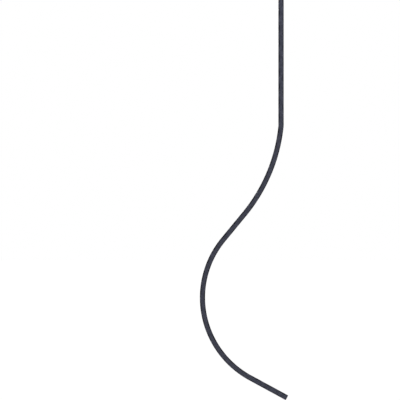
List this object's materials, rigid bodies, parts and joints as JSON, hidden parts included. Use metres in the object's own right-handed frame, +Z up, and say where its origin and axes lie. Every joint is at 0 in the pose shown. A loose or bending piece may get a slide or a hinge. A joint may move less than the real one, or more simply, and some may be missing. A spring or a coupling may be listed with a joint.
{
  "type": "wrought iron baluster",
  "caption": "One-piece bent iron baluster: a straight upper run, a wide belly and a slanting foot, in square bar hammered along its corners.",
  "frame": {"origin": "middle of the square top end face", "axes": "+Z up along the straight upper run, +Y square to the plane in which the bar is bent, the belly swings out towards -X and the foot points towards +X"},
  "size_m": [0.1987, 0.012, 0.9],
  "materials": {
    "iron": "dark blue-grey forge finish, satin, hammered along the corners"
  },
  "bodies": {
    "root": {"hammered_bar": "iron"}
  },
  "joints": []
}
